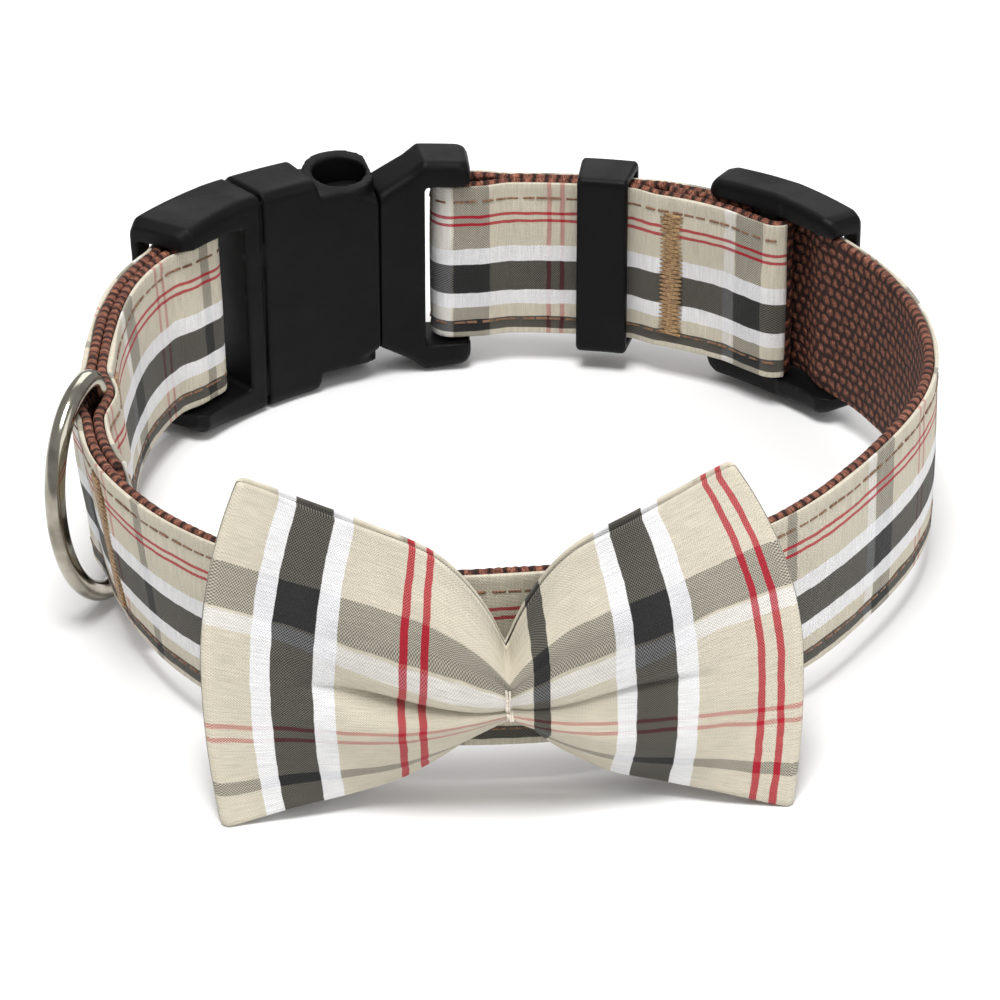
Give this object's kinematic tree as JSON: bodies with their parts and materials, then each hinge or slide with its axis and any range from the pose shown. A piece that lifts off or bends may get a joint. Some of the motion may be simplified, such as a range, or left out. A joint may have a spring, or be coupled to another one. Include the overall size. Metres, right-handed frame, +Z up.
{
  "type": "pet bow tie collar",
  "caption": "Adjustable pet collar of cloth-covered webbing with a folded bow, side-release buckle, slider, keeper and D-ring, standing as a closed loop.",
  "frame": {"origin": "on the floor, under the middle of the collar's box", "axes": "+Z up along the strap's width, +Y from the bow to the buckle, +X to the slider's side"},
  "size_m": [0.1218, 0.1378, 0.0383],
  "materials": {
    "webbing": "coarse woven nylon webbing, reddish brown",
    "check_cloth": "plain-woven cotton, check of charcoal, white and wine red on sand",
    "plastic": "moulded black plastic, satin",
    "metal": "polished nickel-plated wire"
  },
  "bodies": {
    "collar": {"webbing": "webbing", "cover": "check_cloth", "buckle_socket": "plastic", "buckle_plug": "plastic", "keeper": "plastic", "slider": "plastic", "bow": "check_cloth"},
    "leash_ring": {"d_ring": "metal"}
  },
  "joints": [
    {"name": "ring_swing", "type": "hinge", "parent": "collar", "child": "leash_ring", "pos_m": [-0.05323, -0.00489, 0.017], "axis": [-0.1122, -0.0074, 0.9937], "range_deg": [-125, 2]}
  ]
}
